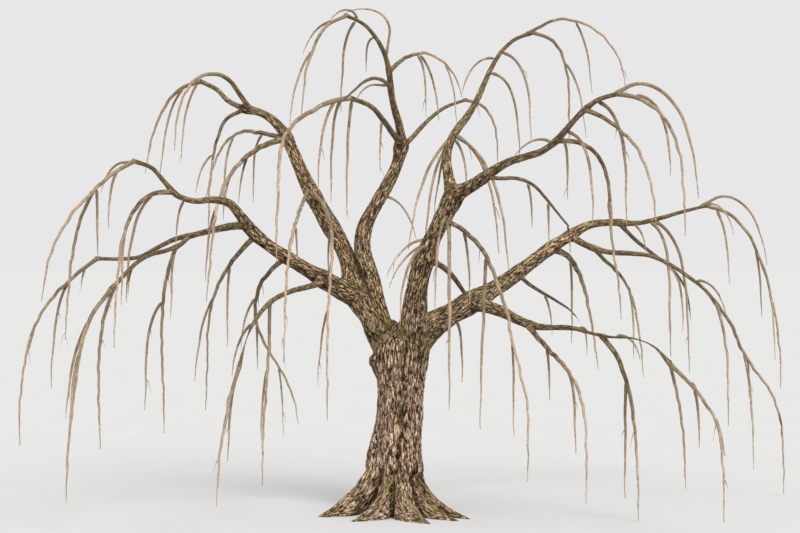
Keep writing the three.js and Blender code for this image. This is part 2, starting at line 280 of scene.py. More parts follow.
def one_skin(trunk, tubes):
    """The vertices, edges and faces of one closed mesh round the trunk and all the boughs."""
    vertices = [np.array([vertex.co for vertex in trunk.verts])]
    faces = [[vertex.index for vertex in face.verts] for face in trunk.faces]
    count = len(vertices[0])
    for line, radii in tubes:
        rings, sides, caps = tube(line, radii, skin_sides)
        faces += [[count + corner for corner in face] for face in sides + caps]
        vertices.append(rings)
        count += len(rings)
    solid = bpy.data.meshes.new("thick_wood")
    solid.from_pydata(np.vstack(vertices), [], faces)
    body = added("thick_wood", solid)
    remesh = body.modifiers.new("one_skin", "REMESH")
    remesh.mode = "VOXEL"
    remesh.voxel_size = skin_grain
    skin = bpy.data.meshes.new_from_object(body.evaluated_get(bpy.context.evaluated_depsgraph_get()))
    bpy.data.objects.remove(body)
    places = np.zeros(3 * len(skin.vertices))
    skin.vertices.foreach_get("co", places)
    edges = np.zeros(2 * len(skin.edges), int)
    skin.edges.foreach_get("vertices", edges)
    corners = np.zeros(len(skin.loops), int)
    skin.loops.foreach_get("vertex_index", corners)
    return places.reshape(-1, 3), edges.reshape(-1, 2), corners.reshape(-1, 4)


def smoothed(places, edges, strength, rounds):
    """Places drawn towards the middle of their neighbours, each by its own strength."""
    ends = np.concatenate((edges[:, 0], edges[:, 1]))
    others = np.concatenate((edges[:, 1], edges[:, 0]))
    count = np.bincount(ends, minlength=len(places))[:, None]
    for _ in range(rounds):
        sums = [np.bincount(ends, places[others, axis], len(places)) for axis in range(3)]
        places = places + strength[:, None] * (np.stack(sums, 1) / count - places)
    return places


def outward(places, faces):
    """The normal at each place of a mesh of four-sided faces."""
    a, b, c, d = (places[faces[:, corner]] for corner in range(4))
    across = np.cross(c - a, d - b)
    normals = np.zeros_like(places)
    for corner in range(4):
        for axis in range(3):
            normals[:, axis] += np.bincount(faces[:, corner], across[:, axis], len(places))
    return normals / np.linalg.norm(normals, axis=1)[:, None]


# Each root leaves the butt at a bearing in degrees (0 right, 90 behind), reaches so far from the pith,
# is so thick at its shoulder, climbs the butt so steeply, and sets off so many degrees away from its toe.
roots = (
    (207, 1.63, 0.18, 1.60, 0),
    (236, 1.54, 0.21, 1.20, 22),
    (289, 1.62, 0.21, 1.15, -26),
    (310, 1.60, 0.15, 0.92, -8),
    (321, 1.58, 0.12, 0.92, 4),
    (2, 0.90, 0.20, 2.10, 6),
    (44, 0.98, 0.16, 1.40, -12),
    (88, 1.20, 0.18, 1.30, 12),
    (131, 1.32, 0.17, 1.20, -10),
    (169, 1.16, 0.17, 1.30, 8),
)


def root_line(bearing, reach, thickness, climb, astray):
    """A root's middle line and radii: steep beside the butt, then a sloping toe."""
    share = np.linspace(0.12, 1, 40)
    left = 1 - share
    radii = thickness * np.clip(left / 0.4, 0, 1) ** 0.65 + 0.015
    height = climb * reach * (0.26 * left + 0.53 * left**3.4) - radii + 0.008
    turn = np.radians(bearing + astray * left)
    line = np.column_stack((reach * share * np.cos(turn), reach * share * np.sin(turn), height))
    return line, radii


def knob(place, radius):
    """The line and radii of a round lump of wood."""
    share = np.linspace(-0.97, 0.97, 9)
    line = np.array(place) + radius * share[:, None] * (0.3, 0.1, 0.95)
    return line, radius * np.sqrt(1 - share**2)


def swollen(name, line, radii):
    """A bough's radii with a knuckle wherever another limb leaves it, and slight thick and thin spells."""
    travel = lengths(line)
    own_noise = np.column_stack((travel * 2.3, np.zeros_like(travel), np.full_like(travel, len(name))))
    uneven = radii * (1 + 0.09 * noise(own_noise))
    for other, (other_line, other_radii) in limbs.items():
        gaps = np.linalg.norm(line - other_line[0], axis=1)
        if other != name and gaps.min() < 1.2 * radii[gaps.argmin()]:
            spot = travel[gaps.argmin()]
            swell = 0.3 * other_radii[0] * np.exp(-(((travel - spot) / (1.8 * other_radii[0] + 0.05)) ** 2))
            uneven = uneven + np.minimum(swell, 0.22 * radii)
    return uneven


bough_step = 0.05
bough_lines = {}
for name in kinds["bough_bark"]:
    line, radii = smooth_line(*limbs[name], bough_step)
    bough_lines[name] = line, swollen(name, line, collar(line, radii))

# Three boughs are slimmer near the fork than their solids, and two of them stand a little to one side
# there. A row gives the place along the bough, how far the change spreads, the share that is taken off
# the thickness and how far left the bough moves. Below 0 the bough grows thicker, or moves right.
eased = (
    ("northwest_bough", 0.0, 0.8, 0.48, 0.0),
    ("northwest_bough", 0.95, 0.42, 0.24, -0.05),
    ("northwest_bough", 2.05, 0.55, 0.2, -0.05),
    ("northwest_bough", 3.3, 0.8, 0.0, -0.03),
    ("centre_stem", 0.0, 0.8, 0.42, 0.11),
    ("centre_stem", 1.6, 0.45, -0.12, 0.05),
    ("right_stem", 0.0, 0.8, 0.14, 0.0),
)
for name, at, spread, slimmer, left in eased:
    line, radii = bough_lines[name]
    near = np.exp(-(((lengths(line) - at) / spread) ** 2))
    bough_lines[name] = line - near[:, None] * (left, 0, 0), radii * (1 - slimmer * near)
root_lines = {f"root_{number}": root_line(*root) for number, root in enumerate(roots, 1)}
skin_lines = {**bough_lines, **root_lines}

# A burl stands out under the left fork, and rounded wood fills the bottom of the fork.
lumps = [
    knob((-0.42, -0.1, 2.7), 0.15),
    knob((-0.14, 0.0, 3.22), 0.19),
    knob((-0.02, 0.06, 3.16), 0.17),
    knob((-0.15, 0.03, 3.32), 0.13),
]
trunk = trunk_shape()
places, edges, faces = one_skin(trunk, [*skin_lines.values(), *lumps])

# Each place of the skin knows the limbs that it lies on: how near each is, where the place would be if
# that limb were straight, and how thick the limb is there. A limb's share fades with the gap to it.
fade = 0.03
trunk_top = 3.7
waist = 0.45
owners = ["trunk"] + list(skin_lines)
share_of = np.zeros((len(owners), len(places)))
straight_on = {}
trunk_tree = BVHTree.FromBMesh(trunk)
low = np.flatnonzero(places[:, 2] < trunk_top)
gap = np.array([trunk_tree.find_nearest(place)[3] for place in places[low]])
share_of[0, low] = np.exp(-gap / fade) + 0.02 * (places[low, 2] < 3)
reach = np.hypot(*places[low, :2].T)
drawn_in = np.minimum(reach, waist) / np.maximum(reach, 1e-6)
along = places[low, 2] - np.maximum(reach - waist, 0)
straight_on["trunk"] = low, np.column_stack((places[low, :2] * drawn_in[:, None], along)), reach
for row, (name, (line, radii)) in enumerate(skin_lines.items(), 1):
    room = radii.max() + 0.15
    inside = ((places > line.min(axis=0) - room) & (places < line.max(axis=0) + room)).all(axis=1)
    near = np.flatnonzero(inside)
    number, part, offset = along_line(line, places[near])
    first, second = frames_along(line)
    girth = radii[number] * (1 - part) + radii[number + 1] * part
    travel = lengths(line)
    on = travel[number] * (1 - part) + travel[number + 1] * part
    gap = np.abs(np.linalg.norm(offset, axis=1) - girth)
    share_of[row, near] = np.exp(-gap / fade)
    turned = (offset * first[number]).sum(axis=1), (offset * second[number]).sum(axis=1), on + 3 * row
    straight_on[name] = near, np.column_stack(turned), girth
total = share_of.sum(axis=0) + 1e-9
owner = share_of.argmax(axis=0)

# The trunk and its roots are one stock. A fork is a place that two limbs share alike, and a seam is a
# place low down that two roots share.
stock = [0] + [owners.index(name) for name in root_lines]
apart = np.vstack((share_of[stock].sum(axis=0), np.delete(share_of, stock, axis=0)))
fork = 1 - 2 * np.abs(apart.max(axis=0) / total - 0.5).clip(0, 0.5)
second_root = np.sort(share_of[stock[1:]], axis=0)[-2]
seam = second_root * np.clip(0.95 - places[:, 2], 0, 0.55) / 0.55

# The relief of the bark is deep on the trunk and faint on the thin ends of the boughs. The grain is the
# straightened place that the bark's material is drawn in.
backs_and_shade = np.zeros(len(places))
depth = np.zeros(len(places))
girths = np.zeros(len(places))
grain = np.zeros((len(places), 3))
for row, name in enumerate(owners):
    near, straight, girth = straight_on[name]
    weight = share_of[row, near] / total[near]
    plate_width = 0.07 if row in stock else 0.055
    large = plates(straight, width=plate_width, length=3.2 * plate_width)
    small = plates(straight + 9, width=0.5 * plate_width, length=1.3 * plate_width)
    backs_and_shade[near] += weight * (0.6 * large + 0.4 * small)
    if name in bough_lines:
        thick = np.minimum(girth, 0.42)
    else:
        thick = 0.4 * np.minimum(girth / 0.2, 1)
    if name == "trunk":
        thick = thick * (1 - 0.35 * np.clip((places[near, 2] - 2.6) / 0.6, 0, 1))
    depth[near] += weight * np.clip(0.08 * thick, 0, 0.03)
    girths[near] += weight * thick
    own = owner[near] == row
    grain[near[own]] = straight[own] * (1.2 if name in bough_lines else 1)


def height_band(height, spread):
    """How near each place of the skin is to a height: 1 at it, and fading above and below."""
    return np.exp(-(((places[:, 2] - height) / spread) ** 2))


# The skin is drawn smooth in the forks, where the roots leave the butt, and round the trunk's rim, where
# the boughs rise from it. The relief's depth and the damp then pass evenly from limb to limb.
places = smoothed(places, edges, strength=0.12 + 0.5 * fork, rounds=8)
shoulder = height_band(height=0.84, spread=0.24)
rim = height_band(height=3.2, spread=0.16)
places = smoothed(places, edges, strength=0.6 * shoulder + 0.35 * rim, rounds=70)
wet_forks = 0.5 * fork * (girths > 0.15)
even = np.full(len(places), 0.6)
passed_on = smoothed(np.column_stack((girths, depth, wet_forks)), edges, strength=even, rounds=40)
girths, depth, damp = passed_on.T

# Thick wood is fluted: slow swellings run up and down it.
normals = outward(places, faces)
flutes = noise(np.column_stack((places[:, :2] * 5.5, places[:, 2] * 0.9)))
places += normals * (0.03 * flutes * np.clip(girths - 0.2, 0, 0.2) / 0.2)[:, None]

# A deep groove winds down the front of the trunk, between the two parts that it grew from, and there is
# a deep hollow between each root and the next.
groove_heights = (0.1, 0.9, 1.65, 2.55, 3.1)
groove_line = np.interp(places[:, 2], groove_heights, (-0.09, -0.05, 0.04, 0.07, 0.14))
off_groove = places[:, 0] - groove_line + 0.02 * flutes
in_front = (places[:, 1] < -0.1) * (places[:, 2] < groove_heights[-1]) * (owner == 0)
groove = np.exp(-((off_groove / 0.04) ** 2)) * in_front
hollow = seam**0.6
groove = np.maximum(groove, hollow)
places -= normals * (0.045 * groove + 0.03 * hollow)[:, None]
places += normals * ((backs_and_shade - 0.55) * depth)[:, None]
normals = outward(places, faces)

# Painted shade: the plates' backs are made darker in the groove and the hollows, in the forks, on the
# undersides of the limbs and round the trunk's rim, where shade falls. They are also lighter on the outward
# swellings of the thick wood's flutes and darker between them. The material draws its colour and bump from
# these backs.
under = (-normals[:, 2]).clip(0, 1)
backs_and_shade = backs_and_shade * (1 + 0.3 * flutes * (girths > 0.3)) - 0.45 * groove - 0.35 * hollow
# Painted shade on the undersides, the forks and the trunk's rim.
backs_and_shade = (backs_and_shade - 0.2 * fork - 0.3 * under - 0.2 * rim).clip(0, 1)

# Moss sits in the forks and the groove, round the foot, and along the upper sides of the limbs.
upward = normals[:, 2].clip(0, 1)
crotch = height_band(height=3.15, spread=0.35)
foot = height_band(height=0.35, spread=0.45)
damp = damp + 0.3 * upward + 0.5 * groove + 0.15 * crotch + 0.12 * foot
patches = noise(places * (4.5, 4.5, 3.0) + 31) + 0.5 * noise(places * 13 + 47)
moss = np.clip((damp + 0.4 * patches - 0.12) * 1.8, 0, 1)


def link(tree, source, target):
    """Let one socket of a material feed another."""
    tree.links.new(source, target)


def add_node(tree, kind, **settings):
    """A new shader node with its settings and the fixed values of its inputs."""
    node = tree.nodes.new(kind)
    for name, value in settings.items():
        if name in node.inputs.keys():
            node.inputs[name].default_value = value
        else:
            setattr(node, name, value)
    return node


def read(tree, name):
    """What each vertex of the mesh keeps under a name."""
    return add_node(tree, "ShaderNodeAttribute", attribute_name=name)


def ramp(tree, source, low, high):
    """How far a value has come from low to high, as a share from 0 to 1."""
    node = add_node(tree, "ShaderNodeMapRange", clamp=True)
    node.inputs["From Min"].default_value = low
    node.inputs["From Max"].default_value = high
    link(tree, source, node.inputs["Value"])
    return node.outputs["Result"]


def blend(tree, share, first, second):
    """One colour turning into another as the share goes from 0 to 1."""
    node = add_node(tree, "ShaderNodeMix", data_type="RGBA")
    colour_sockets = node.inputs[6], node.inputs[7]
    for source, socket in zip((share, first, second), (node.inputs[0], *colour_sockets)):
        if isinstance(source, tuple):
            socket.default_value = source + (1,)
        elif isinstance(source, float):
            socket.default_value = source
        else:
            link(tree, source, socket)
    return node.outputs[2]


def worked_out(tree, operation, first, second):
    """The result of one sum on two numbers."""
    node = add_node(tree, "ShaderNodeMath", operation=operation)
    for source, socket in ((first, node.inputs[0]), (second, node.inputs[1])):
        if isinstance(source, float):
            socket.default_value = source
        else:
            link(tree, source, socket)
    return node.outputs[0]


def times(tree, first, second):
    """One number times another."""
    return worked_out(tree, "MULTIPLY", first, second)


def stretched(tree, source, cells, length):
    """Coordinates with so many cells a metre across a limb, each cell so many times longer than wide."""
    node = add_node(tree, "ShaderNodeMapping")
    node.inputs["Scale"].default_value = (cells, cells, cells / length)
    link(tree, source, node.inputs["Vector"])
    return node.outputs["Vector"]


def bare_material(name):
    """A new material with only its shader, and that shader."""
    material = bpy.data.materials.new(name)
    material.use_nodes = True
    tree = material.node_tree
    tree.nodes.clear()
    shader = add_node(tree, "ShaderNodeBsdfPrincipled")
    output = add_node(tree, "ShaderNodeOutputMaterial")
    link(tree, shader.outputs["BSDF"], output.inputs["Surface"])
    return material, tree, shader


def old_bark():
    """Furrowed bark: dark in the cracks, pale on the worn backs of the plates, plainer on thin wood, and
    darker where painted shade lies on the plates' backs.
    """
    material, tree, shader = bare_material("furrowed_bark")
    place = read(tree, "grain").outputs["Vector"]
    # The plate backs carry painted shade: darker in the groove, the hollows, the forks, under the limbs and
    # round the trunk's rim.
    back = read(tree, "plate_back").outputs["Fac"]
    girth = read(tree, "girth").outputs["Fac"]
    stout = ramp(tree, girth, 0.14, 0.42)

    # Fine flakes lie along the limb, and jagged cracks run between them. The plates' furrows are open where
    # the relief is low, and where painted shade has darkened the plates' backs.
    flakes = add_node(tree, "ShaderNodeTexNoise", Scale=1.0, Detail=3.0, Roughness=0.7, Distortion=0.5)
    link(tree, stretched(tree, place, 34, 5.0), flakes.inputs["Vector"])
    cracks = add_node(tree, "ShaderNodeTexVoronoi", Scale=1.0, feature="DISTANCE_TO_EDGE")
    jagged = add_node(tree, "ShaderNodeVectorMath", operation="MULTIPLY_ADD")
    link(tree, flakes.outputs["Color"], jagged.inputs[0])
    jagged.inputs[1].default_value = (1.5, 1.5, 1.5)
    link(tree, stretched(tree, place, 21, 5.2), jagged.inputs[2])
    link(tree, jagged.outputs["Vector"], cracks.inputs["Vector"])
    flake = ramp(tree, flakes.outputs["Fac"], 0.42, 0.6)
    crack = ramp(tree, cracks.outputs["Distance"], 0.0, 0.13)
    plate = times(tree, ramp(tree, back, 0.08, 0.62), crack)
    height = worked_out(tree, "ADD", times(tree, plate, 0.5), times(tree, flake, 0.5))

    # The colour goes from the furrows' dark to the plates' brown and the pale worn ridges. Thin wood is
    # a plainer brown.
    ridge = blend(tree, stout, (0.86, 0.650, 0.38), (0.93, 0.700, 0.510))
    body = blend(tree, stout, (0.255, 0.165, 0.084), (0.365, 0.232, 0.153))
    dark = (0.014, 0.008, 0.004)
    colour = blend(tree, ramp(tree, height, 0.31, 0.6), dark, body)
    colour = blend(tree, ramp(tree, height, 0.6, 1.0), colour, ridge)
    young = blend(tree, flake, (0.120, 0.083, 0.043), (0.275, 0.202, 0.112))
    colour = blend(tree, ramp(tree, girth, 0.02, 0.11), young, colour)

    # Wide clouds of red-brown pass over it, and moss lies on the damp places.
    clouds = add_node(tree, "ShaderNodeTexNoise", Scale=1.0, Detail=3.0, Roughness=0.55)
    link(tree, stretched(tree, place, 4.5, 1.8), clouds.inputs["Vector"])
    cloud = ramp(tree, clouds.outputs["Fac"], 0.42, 0.66)
    tinted = blend(tree, 0.6, colour, (0.11, 0.050, 0.028))
    colour = blend(tree, times(tree, cloud, 0.55), colour, tinted)
    green = blend(tree, flake, (0.06, 0.050, 0.010), (0.30, 0.265, 0.070))
    mossy = times(tree, read(tree, "moss").outputs["Fac"], ramp(tree, height, 0.1, 0.5))
    colour = blend(tree, times(tree, mossy, 0.6), colour, green)
    link(tree, colour, shader.inputs["Base Color"])
    rough = worked_out(tree, "SUBTRACT", 0.98, times(tree, flake, 0.12))
    link(tree, rough, shader.inputs["Roughness"])
    bump = add_node(tree, "ShaderNodeBump", Strength=1.0, Distance=0.011)
    link(tree, height, bump.inputs["Height"])
    link(tree, bump.outputs["Normal"], shader.inputs["Normal"])
    shader.inputs["Specular IOR Level"].default_value = 0.25
    return material


def ground_cut(faces, level):
    """The faces that close the cut at the ground, from the edges there that have one face only."""
    onward = {}
    edges = set()
    for face in faces:
        edges.update(zip(face, face[[1, 2, 3, 0]]))
    for a, b in edges:
        if (b, a) not in edges and level[a] and level[b]:
            onward.setdefault(b, []).append(a)
    loops = []
    for start in sorted(onward):
        trail = [start]
        while trail:
            if not onward[trail[-1]]:
                trail.pop()
                continue
            step = onward[trail[-1]].pop()
            if step in trail:
                turn = trail.index(step)
                loops.append(trail[turn:])
                del trail[turn + 1 :]
            else:
                trail.append(step)
    return loops


def keep_on(mesh, grain, **numbers):
    """Keep with each vertex of a mesh the numbers that its bark is drawn from."""
    for name, values in numbers.items():
        mesh.attributes.new(name, "FLOAT", "POINT").data.foreach_set("value", values)
    mesh.attributes.new("grain", "FLOAT_VECTOR", "POINT").data.foreach_set("vector", grain.ravel())


# The trunk and its roots are one piece. The boughs are two, and each goes with the half of the crown
# that its tip is in.
furrowed = old_bark()
middle_of_crown = 0.1
west = [name for name in bough_lines if limbs[name][0][-1][0] < middle_of_crown]
skins = {
    "trunk_and_roots": ("trunk_bark", ["trunk"]),
    "western_boughs": ("bough_bark", west),
    "eastern_boughs": ("bough_bark", [name for name in bough_lines if name not in west]),
}
places[:, 2] = places[:, 2].clip(0, None)
of_face = owner[faces[:, 0]]
above = places[faces, 2].max(axis=1) > 0
for piece_name, (slot, nodes) in skins.items():
    numbers = stock if "trunk" in nodes else [owners.index(node) for node in nodes]
    own = faces[np.isin(of_face, numbers) & above]
    used, corners = np.unique(own, return_inverse=True)
    corners = corners.reshape(-1, 4)
    closing = ground_cut(corners, places[used, 2] <= 0) if "trunk" in nodes else []
    mesh = bpy.data.meshes.new(piece_name)
    mesh.from_pydata(places[used], [], corners.tolist() + closing)
    mesh.shade_smooth()
    mesh.normals_split_custom_set_from_vertices(normals[used])
    keep_on(mesh, grain[used], plate_back=backs_and_shade[used], moss=moss[used], girth=girths[used])
    mesh.materials.append(furrowed)
    piece = added(piece_name, mesh)
    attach(piece, "root")
    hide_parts(*nodes)


# The shoots. Fine wood grows on from the limbs: branches with the boughs' bark where they are old, and
# long withes and shoots that come to hang straight down under their own weight, tan where they are
# young. Every one is a closed tube that starts inside its carrier.
shoot_step = 0.04
shoot_draws = np.random.default_rng(7)
tints = {
    "olive_shoot": (0.26, 0.205, 0.115),
    "brown_shoot": (0.29, 0.195, 0.12),
    "dull_tan_shoot": (0.38, 0.285, 0.18),
    "tan_shoot": (0.47, 0.340, 0.225),
    "warm_tan_shoot": (0.51, 0.350, 0.225),
    "light_tan_shoot": (0.57, 0.44, 0.315),
}

# The shoots on each limb, each with the share of the limb below its foot, its lean there in degrees
# (0 up, 90 right, -90 left), how far right it reaches, how far it falls from its foot to its tip and how
# far back it goes. A sixth number says how far the shoot runs straight before it turns.
hanging = {
    "north_crest_withe": ((0.03, -145, -0.32, 1.4, -0.6), (0.17, -140, -0.46, 1.6, 0.5)),
    "north_under_branch": ((0.4, -125, -0.36, 0.7, -0.4),),
    "north_arch_branch": ((0.25, -130, -0.18, 1.2, 0.4), (0.55, -150, -0.2, 1.5, -0.6)),
    "north_elbow_branch": (
        (0.28, -157, -0.2, 0.85, 0.35),
        (0.41, -150, -0.18, 0.7, -0.3),
        (0.62, -155, -0.2, 1.3, 0.5),
    ),
    "bough_left_withe": ((0.32, 168, 0.04, 0.75, 0.2),),
    "bough_right_withe": ((0.6, -163, -0.2, 1.35, 0.3), (0.22, -168, -0.05, 1.0, -0.4)),
    "west_bough": ((0.99, -92, -0.5, 0.55, 0.3, 0.2), (0.78, -140, -0.16, 0.8, 0.4)),
    "west_withe": ((0.28, 178, 0.02, 1.3, 0.4), (0.12, -150, -0.16, 1.05, -0.5)),
    "west_arch_branch": ((0.12, -130, -0.5, 1.95, 0.9), (0.35, -158, -0.12, 1.5, -0.4)),
    "west_long_withe": (
        (0.07, -155, -0.1, 0.35, 0.2),
        (0.18, -150, -0.32, 1.9, 0.7),
        (0.42, -148, -0.3, 1.05, -0.5),
    ),
    "west_second_bough": ((0.73, -155, -0.08, 0.5, 0.2),),
    "west_second_withe": ((0.17, -148, -0.48, 1.75, 0.8), (0.32, -160, -0.18, 1.5, -0.5)),
    "west_third_withe": ((0.02, -168, -0.06, 1.2, -0.5), (0.33, -135, -0.32, 1.95, 0.6)),
    "west_near_branch": ((0.28, -172, -0.05, 1.45, -0.5), (0.5, -150, -0.38, 1.5, 0.7)),
    "west_inner_branch": (
        (0.3, -135, -0.3, 0.9, -0.4),
        (0.45, 178, 0.02, 0.8, 0.5),
        (0.7, 168, 0.09, 1.2, -0.5),
    ),
    "west_low_bough": ((0.7, -124, -0.42, 0.95, 0.7),),
    "west_low_withe": ((0.1, -166, -0.13, 1.45, 0.9),),
    "west_low_inner_withe": ((0.35, -165, -0.12, 1.3, 0.5),),
    "centre_left_bough": ((0.96, -170, -0.1, 2.1, 0.3), (0.5, -173, -0.04, 0.95, -0.4)),
    "centre_left_withe": ((0.05, -150, -0.17, 1.85, 0.5), (0.08, -142, -0.32, 1.6, -0.5)),
    "centre_leader": (
        (0.92, -25, -0.66, 0.05, -0.4, 0.1),
        (0.93, -135, -0.27, 1.65, 0.6),
        (0.72, -30, -0.2, 0.5, 0.5, 0.08),
        (0.62, 9, -1.85, -0.8, 0.5, 0.42),
        (0.43, -86, -0.5, 0.25, 0.7, 0.25),
    ),
    "leader_withe": ((0.13, -95, -0.68, 0.55, 0.4), (0.43, -140, -0.48, 1.35, -0.5)),
    "leader_right_branch": (
        (0.42, 135, 0.16, 1.1, -0.5),
        (0.45, 138, 0.38, 1.2, 0.8),
        (0.7, 150, 0.26, 1.1, -0.6),
    ),
    "centre_stem": ((0.7, 85, 0.72, 0.75, -0.5),),
    "right_stem": (
        (0.68, -76, -1.02, 0.62, -0.9),
        (0.66, -100, -1.0, 0.8, -0.7),
        (0.66, -105, -0.55, 1.45, -1.1),
        (0.88, -160, -0.2, 1.75, -0.7),
        (0.87, 150, 0.07, 3.5, -1.0),
    ),
    "stem_veil_branch": (
        (0.1, 163, 0.12, 1.35, 0.4),
        (0.26, -177, -0.2, 3.1, 0.7),
        (0.6, 176, 0.03, 1.7, 0.5),
    ),
    "east_bough": (
        (0.15, 122, 0.2, 1.2, 0.9),
        (0.77, 115, 0.27, 0.5, -0.3),
        (0.82, 115, 0.38, 2.4, -0.7),
        (0.83, 108, 0.66, 2.7, 0.8),
        (0.97, 68, 0.58, 0.45, -0.5, 0.15),
        (0.97, 62, 1.0, 1.0, 0.8, 0.35),
    ),
    "northeast_bough": (
        (0.33, -130, -0.92, 2.0, -1.2),
        (0.31, -142, -0.5, 1.95, -0.8),
        (0.32, -150, -0.36, 1.35, -0.6),
        (0.32, 130, 0.26, 1.05, -0.7),
        (0.33, 110, 1.04, 2.4, -1.3),
        (0.34, 116, 0.84, 2.15, -0.9),
        (0.7, 85, 0.54, 1.6, 0.7),
        (0.78, -68, -0.68, 0.62, -0.5),
        (0.82, 95, 0.54, 1.6, -0.6),
    ),
    "northeast_withe": ((0.4, 140, 0.42, 1.35, -0.6),),
    "northeast_high_withe": ((0.38, 146, 0.33, 1.3, 0.6),),
    "east_high_bough": (
        (0.62, -50, -1.0, 0.25, 0.5),
        (0.67, 130, 0.12, 1.1, 0.4),
        (0.7, 90, 0.5, 1.65, -0.7),
        (0.9, 105, 0.54, 2.25, 0.9),
        (0.97, 62, 1.32, 1.85, 0.9, 0.32),
    ),
    "east_high_withe": ((0.1, 75, 0.66, 1.4, -0.5),),
    "east_high_branch": ((0.3, 150, 0.15, 0.65, 0.4),),
    "east_veil_branch": ((0.3, 155, 0.15, 1.4, 0.5),),
    "east_cross_bough": (
        (0.42, 160, 0.09, 0.8, 0.4),
        (0.7, 178, 0.02, 0.75, -0.4),
        (0.97, 160, 0.06, 0.5, 0.2),
    ),
    "knuckle_branch": ((0.18, 172, 0.03, 1.5, 0.5),),
    "east_hook_bough": ((0.4, 150, 0.17, 0.7, -0.4), (0.97, 158, 0.06, 0.5, 0.3)),
    "east_withe": (
        (0.05, 150, 0.26, 1.35, -0.7),
        (0.33, 168, 0.14, 1.25, 0.6),
        (0.4, 155, 0.26, 1.75, -0.6),
    ),
    "east_second_bough": ((0.55, 115, 0.55, 0.45, -0.4), (0.8, 78, 0.64, 0.62, 0.6)),
    "east_second_withe": (
        (0.28, 165, 0.2, 2.1, -0.8),
        (0.32, 172, 0.04, 0.7, 0.5),
        (0.62, 160, 0.1, 0.5, 0.2),
    ),
    "east_inner_branch": ((0.45, 160, 0.1, 1.3, -0.5),),
    "east_link_bough": ((0.55, 158, 0.12, 1.0, -0.4),),
    "east_low_bough": ((0.57, 40, 0.24, 0.08, 0.2), (0.74, 58, 0.52, 0.38, 0.6)),
    "low_withe": (
        (0.15, 105, 0.2, 0.2, 0.2),
        (0.2, 163, 0.1, 1.05, 0.6),
        (0.4, 150, 0.24, 0.7, -0.3),
    ),
    "low_front_branch": ((0.2, 170, 0.06, 0.95, 0.4), (0.42, 160, 0.11, 1.45, -0.3)),
    "low_middle_branch": ((0.28, -176, -0.02, 2.1, 0.8),),
}


def weeping(lean, reach, fall, straight=0.0):
    """How far out and up a shoot is at each step, if it leaves at a lean and turns until it hangs.

    What is left of its turn dies away evenly along it, over a length that gives it its reach.
    """
    longest = 9
    fine_step = 0.01
    down = math.copysign(math.pi, reach)
    turn_left = math.radians(lean) - down
    decay = np.arange(0, longest, fine_step)
    bend = abs(reach / (np.sin(turn_left * np.exp(-decay)).sum() * fine_step))
    travel = np.arange(0, longest, shoot_step)
    heading = down + turn_left * np.exp(-np.clip(travel - straight, 0, None) / bend)
    out = np.cumsum(np.sin(heading)) * shoot_step
    up = np.cumsum(np.cos(heading)) * shoot_step
    over = np.arange(len(up)) > up.argmax()
    end = np.flatnonzero(over & (up < -fall))[0]
    return out[: end + 1], up[: end + 1]


def carried(out, up, depth):
    """Places at a depth behind the plane of the elevation that are seen at a place in it."""
    scale = (depth - eye[1]) / -eye[1]
    return np.column_stack((out * scale, depth, eye[2] + (up - eye[2]) * scale))


def wander(travel, size, length):
    """A slow even sway to both sides along a shoot, none at its foot."""
    phases = shoot_draws.uniform(0, 2 * math.pi, 3)
    waves = 0
    for stretch, phase in zip((1, 0.61, 1.7), phases):
        waves = waves + np.sin(travel * 2 * math.pi / (length * stretch) + phase)
    return size * waves * np.clip(travel / 0.8, 0, 1) ** 2


def shoot_line(carrier, share, lean, reach, fall, back, straight=0.0):
    """The line and radii of one shoot that grows out of a limb and hangs."""
    line, girth = carriers[carrier]
    travel = lengths(line)
    foot = np.array([np.interp(share * travel[-1], travel, line[:, axis]) for axis in range(3)])
    thick = np.interp(share * travel[-1], travel, girth)
    out, up = weeping(lean, reach, fall, straight)
    on = np.arange(len(out)) * shoot_step
    scale = -eye[1] / (foot[1] - eye[1])
    out = foot[0] * scale + out + wander(on, size=0.004, length=1.1)
    up = eye[2] + (foot[2] - eye[2]) * scale + up

    # The shoot goes back no further than where its tip would come down to the ground.
    lowest = 0.04 + 0.1 * shoot_draws.random()
    deepest = -eye[1] * (eye[2] - lowest) / max(eye[2] - up.min(), 0.5) + eye[1]
    back = min(back, deepest - foot[1])
    depth = foot[1] + back * (1 - np.exp(-on / 0.9)) + wander(on, size=0.008, length=1.0)

    # A long shoot is thicker. It flares where it leaves its carrier, and narrows again inside it.
    length = on[-1]
    radius = min(0.018 + 0.0044 * length, 0.85 * thick)
    radii = radius * (1 - 0.8 * (on / length) ** 2.2)
    flare = 1 + 0.45 * np.exp(-np.clip(on - thick, 0, None) / (2.4 * radius))
    inside = np.minimum(0.35 + 0.65 * on / (1.2 * thick), 1)
    return carried(out, up, depth), np.minimum(radii * flare, 0.92 * thick) * inside


def fine_limb(name):
    """The line and radii of a branch or withe of the frame as a fine even curve with a whip end."""
    line, radii = smooth_line(*limbs[name], shoot_step)
    on = lengths(line)
    sway = np.column_stack([wander(on, size=0.004, length=0.5) for _ in range(3)])
    room = np.clip((on[-1] - on) / 0.5, 0, 1)[:, None]
    flare = 1.1 + 0.35 * np.exp(-on / (2 * radii[0]))
    whip = 1 - 0.55 * np.clip((on - on[-1] + 0.6) / 0.6, 0, 1) ** 1.5
    return line + sway * room, radii * flare * whip


